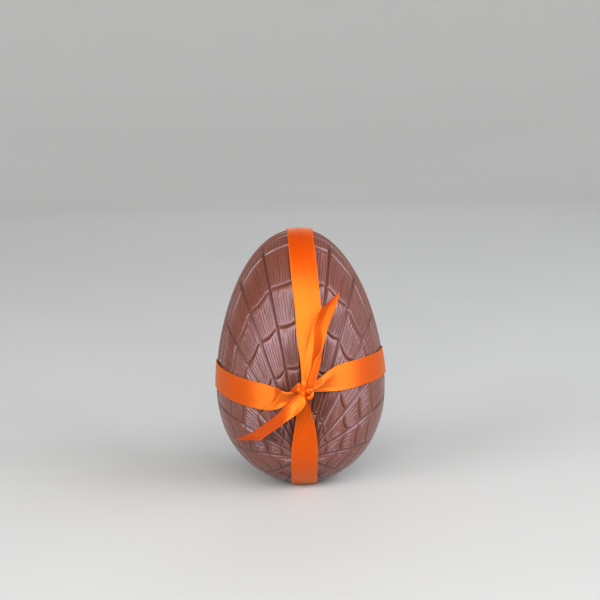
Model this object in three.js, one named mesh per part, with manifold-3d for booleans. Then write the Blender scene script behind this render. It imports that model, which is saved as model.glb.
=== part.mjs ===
// A moulded chocolate egg, tied like a parcel with one length of satin ribbon.
//
// Millimetres, +Z up. The egg stands on its blunt end over the origin, the knot faces -Y
// and the seam of the two moulded halves lies in the XZ plane.
//
// The crackle of the shell is laid out as the mould has it: straight grooves run out from
// a pole low on the front face, and curved cracks cross them, so that the mesh of each
// half is a polar grid about that pole, with columns along the grooves and rows along
// the cracks. The back half mirrors the front one.

import * as THREE from "three";
import { ParametricGeometry } from "three/addons/geometries/ParametricGeometry.js";
import { mergeVertices } from "three/addons/utils/BufferGeometryUtils.js";
import Module from "manifold-3d";

const { clamp, degToRad, lerp, smoothstep } = THREE.MathUtils;

// ---------------------------------------------------------------- driving dimensions

const RIBBON = {
  width: 15,
  thickness: 0.4,
  gap: 0.4, // air left between ribbon and chocolate
};

const EGG = {
  top: 149.5,
  tip: -0.6, // where the blunt end would reach without its flat spot
  rest: RIBBON.thickness + RIBBON.gap, // height of the flat spot, above the ribbon
  waist: 58.8, // height of the widest section
  radius: 49.1,
  lower: { rise: 2.3, root: 1.93 }, // exponents of the curve below the waist
  upper: { rise: 1.77, root: 2.06 }, // and above it
  turn: degToRad(1.1), // of the mould's seam about the vertical
  lean: degToRad(-0.5), // of the groove pattern on the face
};

const POLE = 23.6; // height of the point that the long grooves run out from

// Directions of the long grooves on each side, in degrees from straight up.
const GROOVE_ANGLES = [0, 9.7, 18.7, 29.5, 43.2, 61.5, 86.5, 123, 152, 180];

const GROOVE = { depth: 1.1, half: 1, fade: 16 }; // it fades in over this much reach
const CRACK = { depth: 0.9, half: 0.9, sag: 0.012 };
const PILLOW = 0.25; // how far the edge of a plate rounds down

// The cracks follow arches about the pole, each at a nearly constant share of the way
// from the pole to the seam. A narrow arch has cracks only over the pole.
const ARCHES = [
  { middle: 0.21, side: 0.18, narrow: true },
  { middle: 0.385, side: 0.3, narrow: false },
  { middle: 0.555, side: 0.475, narrow: false },
  { middle: 0.712, side: 0.635, narrow: false },
  { middle: 0.885, side: 0.755, narrow: true },
];
const NARROW_REACH = 44; // degrees that a narrow arch spans on each side

// The rim of each half: distance from the seam, and height over the plates.
const RIM = [
  [9.2, 0],
  [7.4, -0.3],
  [6, -1.1],
  [4.6, -0.1],
  [2, 0],
  [1.2, 0.5],
  [0, 0.35],
];
const BEAD = 0.5; // height of the seam's bead, which the ribbon rides over

// ---------------------------------------------------------------- small helpers

// A smooth curve through [x, value] points, level beyond its ends.
function curveThrough(points) {
  const places = points.map(([x]) => x);
  const values = points.map(([, value]) => value);
  const spline = new THREE.CubicInterpolant(places, values, 1);
  return (x) => spline.evaluate(clamp(x, places[0], places[places.length - 1]))[0];
}

// Six times the volume that a closed geometry holds, negative where it is inside out.
function signedVolume(geometry) {
  const position = geometry.attributes.position;
  const index = geometry.index.array;
  const corner = (i) => new THREE.Vector3().fromBufferAttribute(position, index[i]);
  let volume = 0;
  for (let i = 0; i < index.length; i += 3) {
    volume += corner(i).dot(corner(i + 1).cross(corner(i + 2)));
  }
  return volume;
}

// A grid of points as one closed geometry: point(column, row) gives each vertex, and
// equal neighbours merge into poles and seams.
function closedGrid(columns, rows, point) {
  const place = (u, v, target) => {
    target.copy(point(Math.round(u * columns) % columns, Math.round(v * rows)));
  };
  const grid = new ParametricGeometry(place, columns, rows);
  grid.deleteAttribute("normal");
  grid.deleteAttribute("uv");
  const merged = mergeVertices(grid, 1e-4);
  const index = merged.index.array;
  const kept = [];
  for (let i = 0; i < index.length; i += 3) {
    const [a, b, c] = index.slice(i, i + 3);
    if (a !== b && b !== c && c !== a) kept.push(a, b, c);
  }
  merged.setIndex(kept);
  if (signedVolume(merged) < 0) merged.setIndex(kept.reverse());
  return merged;
}

// ---------------------------------------------------------------- outline of the egg

// Square of the egg's radius at height z.
function radiusSquared(z) {
  if (z <= EGG.tip || z >= EGG.top) return 0;
  const below = z < EGG.waist;
  const reach = below ? EGG.waist - EGG.tip : EGG.top - EGG.waist;
  const { rise, root } = below ? EGG.lower : EGG.upper;
  const share = Math.abs(z - EGG.waist) / reach;
  return EGG.radius ** 2 * (1 - share ** rise) ** (2 / root);
}

function eggNormal(p) {
  const step = 0.05;
  const low = Math.max(p.z - step, EGG.tip);
  const high = Math.min(p.z + step, EGG.top);
  const slope = (radiusSquared(high) - radiusSquared(low)) / (high - low) / 2;
  return new THREE.Vector3(p.x, p.y, -slope).normalize();
}

// Where a line that starts inside the egg leaves its smooth outline.
function leaveEgg(start, direction) {
  let inside = 0;
  let outside = 2 * EGG.top;
  const p = new THREE.Vector3();
  while (outside - inside > 1e-6) {
    const middle = (inside + outside) / 2;
    p.copy(start).addScaledVector(direction, middle);
    if (p.x ** 2 + p.y ** 2 < radiusSquared(p.z)) inside = middle;
    else outside = middle;
  }
  return p;
}

// ---------------------------------------------------------------- the moulded shell

// A line over the front half, from the pole to the seam, which looks straight from the
// front. It knows the points at any distance along the shell.
function spoke(angle) {
  const heading = angle + EGG.lean;
  const direction = new THREE.Vector3(Math.sin(heading), 0, Math.cos(heading));
  const pole = new THREE.Vector3(0, 0, POLE);
  const reach = leaveEgg(pole, direction).distanceTo(pole);
  const samples = 96;
  const points = [];
  const lengths = [0];
  for (let i = 0; i <= samples; i++) {
    const p = pole.clone().addScaledVector(direction, reach * Math.sin((Math.PI / 2) * (i / samples)));
    p.y = -Math.sqrt(Math.max(radiusSquared(p.z) - p.x ** 2, 0));
    if (i > 0) lengths.push(lengths[i - 1] + p.distanceTo(points[i - 1]));
    points.push(p);
  }
  const total = lengths[samples];
  const at = (distance) => {
    const wanted = clamp(distance, 0, total);
    const i = clamp(lengths.findIndex((length) => length >= wanted), 1, samples);
    const share = (wanted - lengths[i - 1]) / (lengths[i] - lengths[i - 1]);
    return points[i - 1].clone().lerp(points[i], share);
  };
  return { total, at };
}

// Angles of all long grooves, once round the pole.
function grooveRing() {
  const right = GROOVE_ANGLES.map(degToRad);
  const left = right.slice(1, -1).reverse().map((angle) => 2 * Math.PI - angle);
  return [...right, ...left];
}

// Columns of the grid: both lips and the bottom of each groove, and two lines between
// neighbours. A column's angle depends on how far from the pole it is.
function shellColumns() {
  const ring = grooveRing();
  const columns = [];
  ring.forEach((angle, i) => {
    const next = i + 1 < ring.length ? ring[i + 1] : ring[0] + 2 * Math.PI;
    const gap = next - angle;
    const before = angle - (i > 0 ? ring[i - 1] : ring[ring.length - 1] - 2 * Math.PI);
    const lip = (reach, room) => Math.min(GROOVE.half / Math.max(reach, 1), 0.2 * room);
    columns.push({ kind: "lip", across: 0, angle: (reach) => angle - lip(reach, before) });
    columns.push({ kind: "bottom", across: 0, angle: () => angle });
    columns.push({ kind: "lip", across: 0, angle: (reach) => angle + lip(reach, gap) });
    for (const across of [1 / 3, 2 / 3]) {
      const place = (reach) => {
        const edge = lip(reach, gap);
        return lerp(angle + edge, next - edge, across);
      };
      columns.push({ kind: "plate", across, angle: place });
    }
  });
  return columns;
}

// Share of the way to the seam at which an arch crosses a spoke.
function archShare(arch, angle) {
  const off = Math.abs(THREE.MathUtils.radToDeg(Math.atan2(Math.sin(angle), Math.cos(angle))));
  return lerp(arch.middle, arch.side, smoothstep(off, 28, 80));
}

function archDepth(arch, angle) {
  const off = THREE.MathUtils.radToDeg(Math.acos(Math.cos(angle)));
  return arch.narrow && off > NARROW_REACH ? 0 : CRACK.depth;
}

// Rows of the grid, from the pole to the seam. Each gives its distance along the shell
// for a column, and how high the shell stands there.
function shellRows() {
  const rows = [
    { distance: () => 0, height: () => 0 },
    { distance: (angle, total) => 0.33 * archShare(ARCHES[0], angle) * total, height: () => 0 },
    { distance: (angle, total) => 0.67 * archShare(ARCHES[0], angle) * total, height: () => 0 },
  ];
  ARCHES.forEach((arch, i) => {
    const middle = (angle, total, across) => {
      const sag = CRACK.sag * 4 * across * (1 - across);
      return (archShare(arch, angle) - sag) * total;
    };
    for (const side of [-1, 0, 1]) {
      rows.push({
        distance: (angle, total, across) => middle(angle, total, across) + side * CRACK.half,
        height: (angle) => (side === 0 ? -archDepth(arch, angle) : 0),
      });
    }
    const next = ARCHES[i + 1];
    rows.push({
      distance: (angle, total, across) => {
        const end = next ? archShare(next, angle) * total : total - RIM[0][0];
        return (middle(angle, total, across) + end) / 2;
      },
      height: () => 0,
    });
  });
  for (const [inset, height] of RIM) {
    rows.push({ distance: (angle, total) => total - inset, height: () => height, inset });
  }
  return rows;
}

// Height of the shell at one vertex over the smooth outline.
function shellHeight(column, row, angle, distance) {
  if (row.inset !== undefined && row.inset < RIM[0][0]) return row.height();
  const fadeIn = smoothstep(distance, 0, GROOVE.fade);
  if (column.kind === "bottom") return -GROOVE.depth * fadeIn;
  const crack = column.kind === "lip" ? 0.35 * row.height(angle) - PILLOW : row.height(angle);
  return crack * fadeIn;
}

function shellGeometry() {
  const columns = shellColumns();
  const rows = shellRows();
  const last = rows.length - 1;
  const point = (c, r) => {
    const mirrored = r > last;
    const column = columns[c];
    const row = rows[mirrored ? 2 * last - r : r];
    const guess = column.angle(60);
    const reach = row.distance(guess, spoke(guess).total, column.across);
    const angle = column.angle(reach);
    const line = spoke(angle);
    const distance = row.distance(angle, line.total, column.across);
    const p = line.at(distance);
    const normal = eggNormal(p);
    p.addScaledVector(normal, shellHeight(column, row, angle, distance));
    p.z = Math.max(p.z, EGG.rest);
    if (mirrored) p.y = -p.y;
    return p;
  };
  return closedGrid(columns.length, 2 * last, point);
}

// ---------------------------------------------------------------- the tied ribbon

const KNOT = new THREE.Vector3(1.4, -54, 64.6);

// The upright loop, by degrees from the knot over the crown.
const UPRIGHT = {
  sideways: curveThrough([
    [-70, 0.7], [-50, 0.9], [-27, 1.8], [-8, 1.4], [0, 1.6], [6, 3.2], [18, 5],
    [30, 5.7], [47, 5.2], [60, 3.9], [87, 1.7], [130, 0.3], [180, 0], [290, 0.7],
  ]),
  width: curveThrough([
    [-70, 15], [-50, 15], [-35, 14.2], [-26, 12], [-17, 8.4], [-8, 5], [0, 5],
    [5, 6.5], [18, 11], [30, 14.4], [40, 15], [290, 15],
  ]),
};
// The waist loop, by degrees from the knot towards +X.
const WAIST = {
  height: curveThrough([
    [-180, 68.5], [-120, 67.5], [-70, 65], [-45, 62.2], [-21, 59.8], [-8, 61.6],
    [0, 64.2], [8, 66.2], [33, 70.2], [77, 71.9], [120, 71], [180, 68.5],
  ]),
  width: curveThrough([
    [-180, 15], [-30, 15], [-21, 14.2], [-14, 11.5], [-7, 6], [0, 5], [7, 5.4],
    [14, 9], [22, 13], [30, 15], [180, 15],
  ]),
};

// How far a taut band stands off the shell: it bridges the seam's bead, and it rises to
// meet the knot.
function standOff(p) {
  const bead = clamp(1 - (Math.abs(p.y) - 1.5) / 8, 0, 1);
  const rise = Math.exp(-(((p.x - KNOT.x) ** 2 + (p.z - KNOT.z) ** 2) / 9 ** 2));
  const front = p.y < 0 ? 1 : 0;
  return RIBBON.gap + BEAD * bead ** 2 + 2.6 * rise * front;
}

// A closed loop of ribbon. station(i) gives its place on the egg, its width and how far
// it is lifted; the section is a thin flat rectangle.
function bandGeometry(steps, station) {
  const places = [];
  for (let i = 0; i < steps; i++) {
    const { p, width, lift } = station(i);
    const normal = eggNormal(p);
    places.push({ normal, width, centre: p.addScaledVector(normal, standOff(p) + lift) });
  }
  const point = (c, r) => {
    const here = places[r % steps];
    const ahead = places[(r + 1) % steps].centre;
    const behind = places[(r + steps - 1) % steps].centre;
    const tangent = ahead.clone().sub(behind).normalize();
    const across = tangent.clone().cross(here.normal).normalize();
    const outward = across.clone().cross(tangent).normalize();
    const side = c === 0 || c === 3 ? -0.5 : 0.5;
    const up = c < 2 ? 0 : 1;
    const corner = here.centre.clone().addScaledVector(across, side * here.width);
    corner.addScaledVector(outward, up * RIBBON.thickness);
    corner.z = Math.max(corner.z, (1 - up) * RIBBON.thickness);
    return corner;
  };
  return closedGrid(4, steps, point);
}

function uprightLoop() {
  const steps = 72;
  const station = (i) => {
    const degrees = -70 + (360 * i) / steps;
    const turn = degToRad(degrees);
    const start = new THREE.Vector3(UPRIGHT.sideways(degrees), 0, KNOT.z);
    const direction = new THREE.Vector3(0, -Math.cos(turn), Math.sin(turn));
    return { p: leaveEgg(start, direction), width: UPRIGHT.width(degrees), lift: 0 };
  };
  return bandGeometry(steps, station);
}

function waistLoop() {
  const steps = 72;
  const station = (i) => {
    const degrees = -180 + (360 * i) / steps;
    const turn = degToRad(degrees);
    const start = new THREE.Vector3(0, 0, WAIST.height(degrees));
    const direction = new THREE.Vector3(Math.sin(turn), -Math.cos(turn), 0);
    const lift = 0.7 * RIBBON.thickness * smoothstep(Math.abs(degrees), 160, 172);
    return { p: leaveEgg(start, direction), width: WAIST.width(degrees), lift };
  };
  return bandGeometry(steps, station);
}

// A loose end. Each station names the four lengthwise lines of the strip: its left edge,
// a valley crease, a ridge crease and its right edge.
function tailGeometry(stations, steps) {
  const lines = [0, 1, 2, 3].map((k) => new THREE.CatmullRomCurve3(stations.map((s) => s[k])));
  const section = (share) => {
    const line = lines.map((curve) => curve.getPoint(share));
    const ahead = lines.map((curve) => curve.getTangent(share));
    const across = line[3].clone().sub(line[0]).normalize();
    const outward = across.cross(ahead[1].add(ahead[2])).normalize();
    if (outward.y > 0) outward.negate();
    const lifted = line.map((p) => p.clone().addScaledVector(outward, RIBBON.thickness));
    return [...line, ...lifted.reverse()];
  };
  const point = (c, r) => {
    const corners = section(clamp((r - 1) / steps, 0, 1));
    if (r > 0 && r < steps + 2) return corners[c];
    const centre = new THREE.Vector3();
    corners.forEach((corner) => centre.addScaledVector(corner, 1 / corners.length));
    return centre;
  };
  return closedGrid(8, steps + 2, point);
}

function upperTail() {
  const v = (x, y, z) => new THREE.Vector3(x, y, z);
  return tailGeometry([
    [v(1, -54.8, 68), v(2.6, -54, 67.4), v(4.2, -56, 67.6), v(5.4, -55, 67.4)],
    [v(3, -57, 79.5), v(5.7, -55, 78.7), v(8.4, -60, 79.6), v(10.6, -58.4, 78.6)],
    [v(5.1, -56.6, 88), v(6.8, -53.8, 87.4), v(11.1, -60, 88.4), v(13.6, -58.6, 88)],
    [v(8.3, -50, 101.5), v(9.7, -49.6, 102.5), v(16.2, -56, 103.7), v(18.6, -56, 104.2)],
    [v(12.7, -43.5, 108.6), v(15.2, -44.4, 111), v(20, -47.6, 115.6), v(22.8, -49, 118.2)],
  ], 12);
}

function lowerTail() {
  const v = (x, y, z) => new THREE.Vector3(x, y, z);
  return tailGeometry([
    [v(-1.2, -53.6, 66), v(-0.6, -55.6, 64.6), v(0, -57, 63), v(0.8, -57, 61.4)],
    [v(-6.9, -56, 60.6), v(-5.4, -59, 59.2), v(-4.2, -61.4, 57.2), v(-3.2, -62.2, 55)],
    [v(-13.7, -54, 54.2), v(-11.8, -58, 53), v(-9.5, -61.4, 51.8), v(-7.7, -62.8, 50.2)],
    [v(-25.3, -47.5, 43.4), v(-22.8, -52, 43), v(-19.5, -56.4, 43), v(-16.6, -59, 43)],
    [v(-37.8, -37.8, 34), v(-33.1, -43.2, 34.8), v(-28.1, -48.4, 35.8), v(-23.2, -53, 36.8)],
  ], 12);
}

// The knot: a hitch of ribbon pulled tight, with a small loop curling out below it.
function knotLobe(centre, size, tilt) {
  const lobe = new THREE.SphereGeometry(1, 12, 8);
  lobe.scale(...size);
  lobe.rotateY(degToRad(tilt));
  lobe.translate(...centre);
  lobe.deleteAttribute("normal");
  lobe.deleteAttribute("uv");
  return mergeVertices(lobe, 1e-4);
}

function knotLobes() {
  const { x, y, z } = KNOT;
  return [
    knotLobe([x, y, z], [6, 3.4, 4], 35),
    knotLobe([x - 3.4, y - 0.8, z + 2.4], [3.6, 2.6, 2], 20),
    knotLobe([x + 2.6, y - 1.2, z - 2.6], [2.6, 2.4, 2.8], 0),
  ];
}

async function fuse(geometries) {
  const wasm = await Module();
  wasm.setup();
  const solids = geometries.map((geometry) => new wasm.Manifold(new wasm.Mesh({
    numProp: 3,
    vertProperties: new Float32Array(geometry.attributes.position.array),
    triVerts: new Uint32Array(geometry.index.array),
  })));
  const whole = solids.reduce((sum, solid) => sum.add(solid)).getMesh();
  const fused = new THREE.BufferGeometry();
  fused.setAttribute("position", new THREE.BufferAttribute(whole.vertProperties, 3));
  fused.setIndex(new THREE.BufferAttribute(whole.triVerts, 1));
  return fused;
}

// ---------------------------------------------------------------- the object

const chocolate = new THREE.MeshStandardMaterial({ color: 0x6e4535, roughness: 0.38, metalness: 0 });
const satin = new THREE.MeshStandardMaterial({ color: 0xf07c1e, roughness: 0.42, metalness: 0 });

const egg = new THREE.Mesh(shellGeometry(), chocolate);
egg.name = "egg";
egg.rotation.z = EGG.turn;

const ribbonParts = [uprightLoop(), waistLoop(), upperTail(), lowerTail(), ...knotLobes()];
const ribbon = new THREE.Mesh(await fuse(ribbonParts), satin);
ribbon.name = "ribbon";

const object = new THREE.Group();
object.add(egg, ribbon);
export default object;
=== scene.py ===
# %% [markdown]
# # A moulded chocolate egg, tied with satin ribbon
#
# This script dresses a finished CAD model. The CAD solids are the frame: they say where
# everything is and how big it is. Each piece made below stands where its solid stands,
# and carries the detail that a plain solid lacks.
#
# The egg is two moulded halves of milk chocolate, melted together at a seam. The ribbon
# is one strip of orange satin: a band over the crown, a band round the waist, a knot and
# two loose ends.

# %% Load the frame
import math

import bpy
import numpy as np
from mathutils import Matrix, Vector


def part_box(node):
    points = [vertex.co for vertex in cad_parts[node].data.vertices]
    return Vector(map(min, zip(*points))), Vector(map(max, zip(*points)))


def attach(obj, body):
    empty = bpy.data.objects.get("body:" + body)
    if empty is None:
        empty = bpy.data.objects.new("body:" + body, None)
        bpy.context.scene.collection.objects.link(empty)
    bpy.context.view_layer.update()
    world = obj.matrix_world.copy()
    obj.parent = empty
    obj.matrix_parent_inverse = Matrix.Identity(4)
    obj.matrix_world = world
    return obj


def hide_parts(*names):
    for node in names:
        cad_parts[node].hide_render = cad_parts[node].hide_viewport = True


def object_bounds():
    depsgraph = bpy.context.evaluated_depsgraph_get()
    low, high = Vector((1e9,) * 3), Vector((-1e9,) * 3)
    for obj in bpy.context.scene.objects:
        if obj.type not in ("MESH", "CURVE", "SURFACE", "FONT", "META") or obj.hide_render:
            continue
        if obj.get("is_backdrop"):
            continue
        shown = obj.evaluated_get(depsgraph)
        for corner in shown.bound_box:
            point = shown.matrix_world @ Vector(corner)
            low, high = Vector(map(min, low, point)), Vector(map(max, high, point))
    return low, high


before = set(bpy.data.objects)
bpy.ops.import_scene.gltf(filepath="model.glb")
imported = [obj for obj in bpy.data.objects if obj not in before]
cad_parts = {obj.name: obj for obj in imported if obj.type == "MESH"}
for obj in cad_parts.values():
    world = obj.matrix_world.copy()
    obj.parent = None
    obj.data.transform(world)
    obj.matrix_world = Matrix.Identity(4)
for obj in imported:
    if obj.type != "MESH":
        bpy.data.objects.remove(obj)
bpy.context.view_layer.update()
bpy.ops.object.select_all(action="DESELECT")
print("CAD nodes:", sorted(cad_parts))

# %% [markdown]
# ## Driving sizes
#
# Everything is worked out in millimetres, as the maker of the mould would, and turned
# into metres only when a mesh is written. The outline of the egg is two smooth curves
# that meet at its waist. The long grooves of its crackle run out from one point low on
# the face, so their directions say almost everything about the pattern.

# %% Sizes of the egg and the ribbon
MM = 0.001

RIBBON_WIDTH = 15.0
RIBBON_THICKNESS = 0.4  # of the solid; the cloth itself is thinner
RIBBON_GAP = 0.4  # between the shell and a taut band
CLOTH = 0.26

EGG_TOP = 149.5
EGG_TIP = -0.6  # where the outline would close; the egg is flat from EGG_REST down
EGG_REST = RIBBON_THICKNESS + RIBBON_GAP
EGG_WAIST = 58.8
EGG_RADIUS = 49.1
BELOW_WAIST = (2.3, 1.93)  # exponents of the outline's curve
ABOVE_WAIST = (1.77, 2.06)
SEAM_TURN = math.radians(1.1)  # of the whole shell, about the vertical
SEAM_BEAD = 0.5
PATTERN_LEAN = math.radians(-0.5)  # of the middle groove

egg_low, egg_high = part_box("egg")
print("egg solid stands from", round(egg_low.z / MM, 2), "to", round(egg_high.z / MM, 2))

# %% Outline of the egg
NUDGE = 0.05  # millimetres up and down, to measure a slope
HALVINGS = 48


def unit(vectors):
    """The same directions, each with a length of 1."""
    return vectors / np.linalg.norm(vectors, axis=-1, keepdims=True)


def smoothstep(x, start, end):
    """0 up to the start, 1 from the end on, and a soft step between them."""
    share = np.clip((x - start) / (end - start), 0, 1)
    return share * share * (3 - 2 * share)


def radius_squared(z):
    """Square of the egg's radius at height z, in square millimetres."""
    below = z < EGG_WAIST
    reach = np.where(below, EGG_WAIST - EGG_TIP, EGG_TOP - EGG_WAIST)
    rise = np.where(below, BELOW_WAIST[0], ABOVE_WAIST[0])
    root = np.where(below, BELOW_WAIST[1], ABOVE_WAIST[1])
    share = np.clip(np.abs(z - EGG_WAIST) / reach, 0, 1)
    return EGG_RADIUS**2 * (1 - share**rise) ** (2 / root)


def egg_normal(points):
    """Outward normals of the smooth outline at points on it."""
    low = np.maximum(points[..., 2] - NUDGE, EGG_TIP)
    high = np.minimum(points[..., 2] + NUDGE, EGG_TOP)
    slope = (radius_squared(high) - radius_squared(low)) / (high - low) / 2
    return unit(np.stack([points[..., 0], points[..., 1], -slope], -1))


def leave_egg(start, direction):
    """Where lines that start inside the egg leave its smooth outline."""
    inside = np.zeros(start.shape[:-1])
    outside = np.full(start.shape[:-1], 2 * EGG_TOP)
    for _ in range(HALVINGS):
        middle = (inside + outside) / 2
        point = start + direction * middle[..., None]
        within = point[..., 0] ** 2 + point[..., 1] ** 2 < radius_squared(point[..., 2])
        inside = np.where(within, middle, inside)
        outside = np.where(within, outside, middle)
    return start + direction * inside[..., None]


print("egg is", round(2 * math.sqrt(radius_squared(EGG_WAIST)), 1), "mm across")

# %% [markdown]
# ## Camera, floor and light
#
# A product shot needs little: a pale floor that curves up all round so that no horizon
# shows, and soft lamps. Three wide ones stand at the front right, the front and the front
# left, and give satin and chocolate their broad gloss. A cool weak one at the right edge
# lifts the relief there, and a weak one behind parts the crown from the backdrop.

# %% Camera
LOOK_AT = Vector((0, 0, 0.075))
CAMERA_DISTANCE = 0.840
CAMERA_RISE = math.radians(10)
PICTURE_SIDE = 600
FOCAL_LENGTH = 1423.5  # in pixels of that picture
BELOW_CENTRE = 55.6  # how far the egg's middle is below the picture's, in the same pixels
ROLL = math.radians(1.47)

camera_data = bpy.data.cameras.new("studio_camera")
camera_data.lens = FOCAL_LENGTH / PICTURE_SIDE * camera_data.sensor_width
camera = bpy.data.objects.new("studio_camera", camera_data)
bpy.context.scene.collection.objects.link(camera)
bpy.context.scene.camera = camera
backward = Vector((0, -math.cos(CAMERA_RISE), math.sin(CAMERA_RISE)))
facing = (-backward).to_track_quat("-Z", "Y").to_matrix()
tilt = Matrix.Rotation(math.atan(BELOW_CENTRE / FOCAL_LENGTH), 3, "X")
roll = Matrix.Rotation(-ROLL, 3, "Z")
camera.matrix_world = Matrix.Translation(LOOK_AT + CAMERA_DISTANCE * backward) @ (
    facing @ roll @ tilt
).to_4x4()
print("lens:", round(camera_data.lens, 1), "mm")

# %% Floor
FLOOR_FLAT = 2.4  # metres, as are the rim's radius and the wall's height
FLOOR_RIM = 4.4
FLOOR_WALL = 2.6
FLOOR_SIDES = 96
FLOOR_STEPS = 12

bpy.ops.mesh.primitive_circle_add(vertices=FLOOR_SIDES, radius=FLOOR_FLAT, fill_type="NGON")
floor = bpy.context.object
floor.name = floor.data.name = "studio_floor"
bpy.ops.object.mode_set(mode="EDIT")
bpy.ops.mesh.select_mode(type="EDGE")
bpy.ops.mesh.select_all(action="SELECT")
bpy.ops.mesh.region_to_loop()
rim, height = FLOOR_FLAT, 0.0
for step in range(1, FLOOR_STEPS + 1):
    turn = math.radians(90 * step / FLOOR_STEPS)
    wanted = FLOOR_FLAT + (FLOOR_RIM - FLOOR_FLAT) * math.sin(turn)
    rise = FLOOR_WALL * (1 - math.cos(turn))
    bpy.ops.mesh.extrude_edges_move(TRANSFORM_OT_translate={"value": (0, 0, rise - height)})
    bpy.ops.transform.resize(value=(wanted / rim, wanted / rim, 1), center_override=(0, 0, rise))
    rim, height = wanted, rise
bpy.ops.object.mode_set(mode="OBJECT")
bpy.ops.object.shade_smooth()
floor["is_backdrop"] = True
print("floor has", len(floor.data.polygons), "faces")

# %% Lamps
LAMP_DISTANCE = 2.2


def lamp(name, bearing, rise, side, watts, tint, distance=LAMP_DISTANCE):
    """A square soft lamp that faces the egg; bearing 0 is in front and 90 to its right."""
    turn, lift = math.radians(bearing), math.radians(rise)
    data = bpy.data.lights.new(name, "AREA")
    data.size = side
    data.energy = watts
    data.color = tint
    made = bpy.data.objects.new(name, data)
    bpy.context.scene.collection.objects.link(made)
    away = Vector(
        (math.sin(turn) * math.cos(lift), -math.cos(turn) * math.cos(lift), math.sin(lift))
    )
    made.location = LOOK_AT + distance * away
    made.rotation_mode = "QUATERNION"
    made.rotation_quaternion = (-away).to_track_quat("-Z", "Y")
    made.visible_camera = False


lamp("key_lamp", bearing=55, rise=21, side=1.6, watts=50.0, tint=(0.97, 0.97, 1.0))
lamp("front_lamp", bearing=2, rise=30, side=1.5, watts=44.0, tint=(1.0, 0.99, 0.97))
lamp("fill_lamp", bearing=-46, rise=18, side=1.3, watts=40.0, tint=(0.96, 0.97, 1.0))
lamp("side_lamp", bearing=88, rise=42, side=1.2, watts=10.0, tint=(0.66, 0.8, 1.0))
lamp("back_lamp", bearing=180, rise=31, side=1.4, watts=6.0, tint=(0.97, 0.98, 1.0), distance=2.6)

# %% Air
AIR_TINT = (0.94, 0.96, 1.0, 1)
AIR_STRENGTH = 0.16

world = bpy.data.worlds.new("studio_air")
world.use_nodes = True
air = world.node_tree.nodes["Background"].inputs
air["Color"].default_value = AIR_TINT
air["Strength"].default_value = AIR_STRENGTH
bpy.context.scene.world = world
bpy.context.scene.view_settings.view_transform = "Standard"
print("air:", world.name)

# %% [markdown]
# ## A workshop for finishes
#
# Shader maths reads best as maths. The small class below wraps an output socket, so that
# `1 - mask * 0.4` adds the nodes that work it out. A finish is a material that is mixed
# node by node, with one method for every kind of node.

# %% Sockets with arithmetic


class Port:
    """An output socket of a finish. Arithmetic on it adds Math nodes."""

    def __init__(self, finish, socket):
        self.finish = finish
        self.socket = socket

    def math(self, operation, *values):
        """A Math node that works on the values."""
        inputs = dict(enumerate(values))
        return self.finish.node("Math", {"operation": operation}, inputs)

    def __add__(self, other):
        return self.math("ADD", self, other)

    def __sub__(self, other):
        return self.math("SUBTRACT", self, other)

    def __mul__(self, other):
        return self.math("MULTIPLY", self, other)

    def __rsub__(self, other):
        return self.math("SUBTRACT", other, self)

    __radd__ = __add__
    __rmul__ = __mul__

    def clipped(self):
        """The value, held between 0 and 1."""
        return self.math("MINIMUM", self.math("MAXIMUM", self, 0.0), 1.0)


print("sockets can be added, subtracted, multiplied and clipped")

# %% Finishes
MIX_FACTOR, MIX_FIRST, MIX_SECOND, MIX_RESULT = 0, 6, 7, 2  # a Mix node's colour sockets


class Finish:
    """A material that is mixed node by node."""

    def __init__(self, name):
        self.material = bpy.data.materials.new(name)
        self.material.use_nodes = True
        self.tree = self.material.node_tree
        self.surface = self.tree.nodes["Principled BSDF"]

    def node(self, kind, settings=None, inputs=None, output=0):
        """Adds a node: its settings come first, then the values or links of its sockets."""
        made = self.tree.nodes.new("ShaderNode" + kind)
        for key, value in (settings or {}).items():
            setattr(made, key, value)
        for key, value in (inputs or {}).items():
            self.feed(made.inputs[key], value)
        return Port(self, made.outputs[output])

    def feed(self, socket, value):
        """Links a port to a socket, or sets the socket to a plain value."""
        if isinstance(value, Port):
            self.tree.links.new(value.socket, socket)
        else:
            socket.default_value = value

    def set(self, **values):
        """Feeds the surface's sockets; an underscore stands for a space."""
        for key, value in values.items():
            self.feed(self.surface.inputs[key.replace("_", " ")], value)

    def blend(self, factor, first, second):
        """A colour between two colours."""
        inputs = {MIX_FACTOR: factor, MIX_FIRST: first, MIX_SECOND: second}
        return self.node("Mix", {"data_type": "RGBA"}, inputs, output=MIX_RESULT)

    def bump(self, height, strength, distance):
        """A normal that follows a height over a distance in metres."""
        inputs = {"Strength": strength, "Distance": distance, "Height": height}
        return self.node("Bump", None, inputs)


def colour(red, green, blue):
    """A colour as it is written on a paint chart, 0 to 255, made linear."""
    parts = [c / 255 for c in (red, green, blue)]
    return (*[c / 12.92 if c < 0.04 else ((c + 0.055) / 1.055) ** 2.4 for c in parts], 1.0)


print("mid grey, linear:", [round(c, 3) for c in colour(128, 128, 128)])

# %% [markdown]
# ## The floor's finish
#
# Pale seamless card: matt, with the faintest mottling so that it isn't a flat colour. It
# could be lit from behind to turn pale in the distance, as in a studio. Here that light is
# painted instead: the card's colour grades from a mid tone round the egg to a paler one,
# which needs no more lamps.

# %% Card
CARD_GRADES_OVER = 3.0  # metres from the middle of the floor
CARD_NEAR = colour(186, 185, 182), colour(194, 193, 190)
# painted light: the paler tone of the card far from the egg
CARD_FAR_PAINTED_LIGHT = colour(236, 235, 232)

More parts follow.
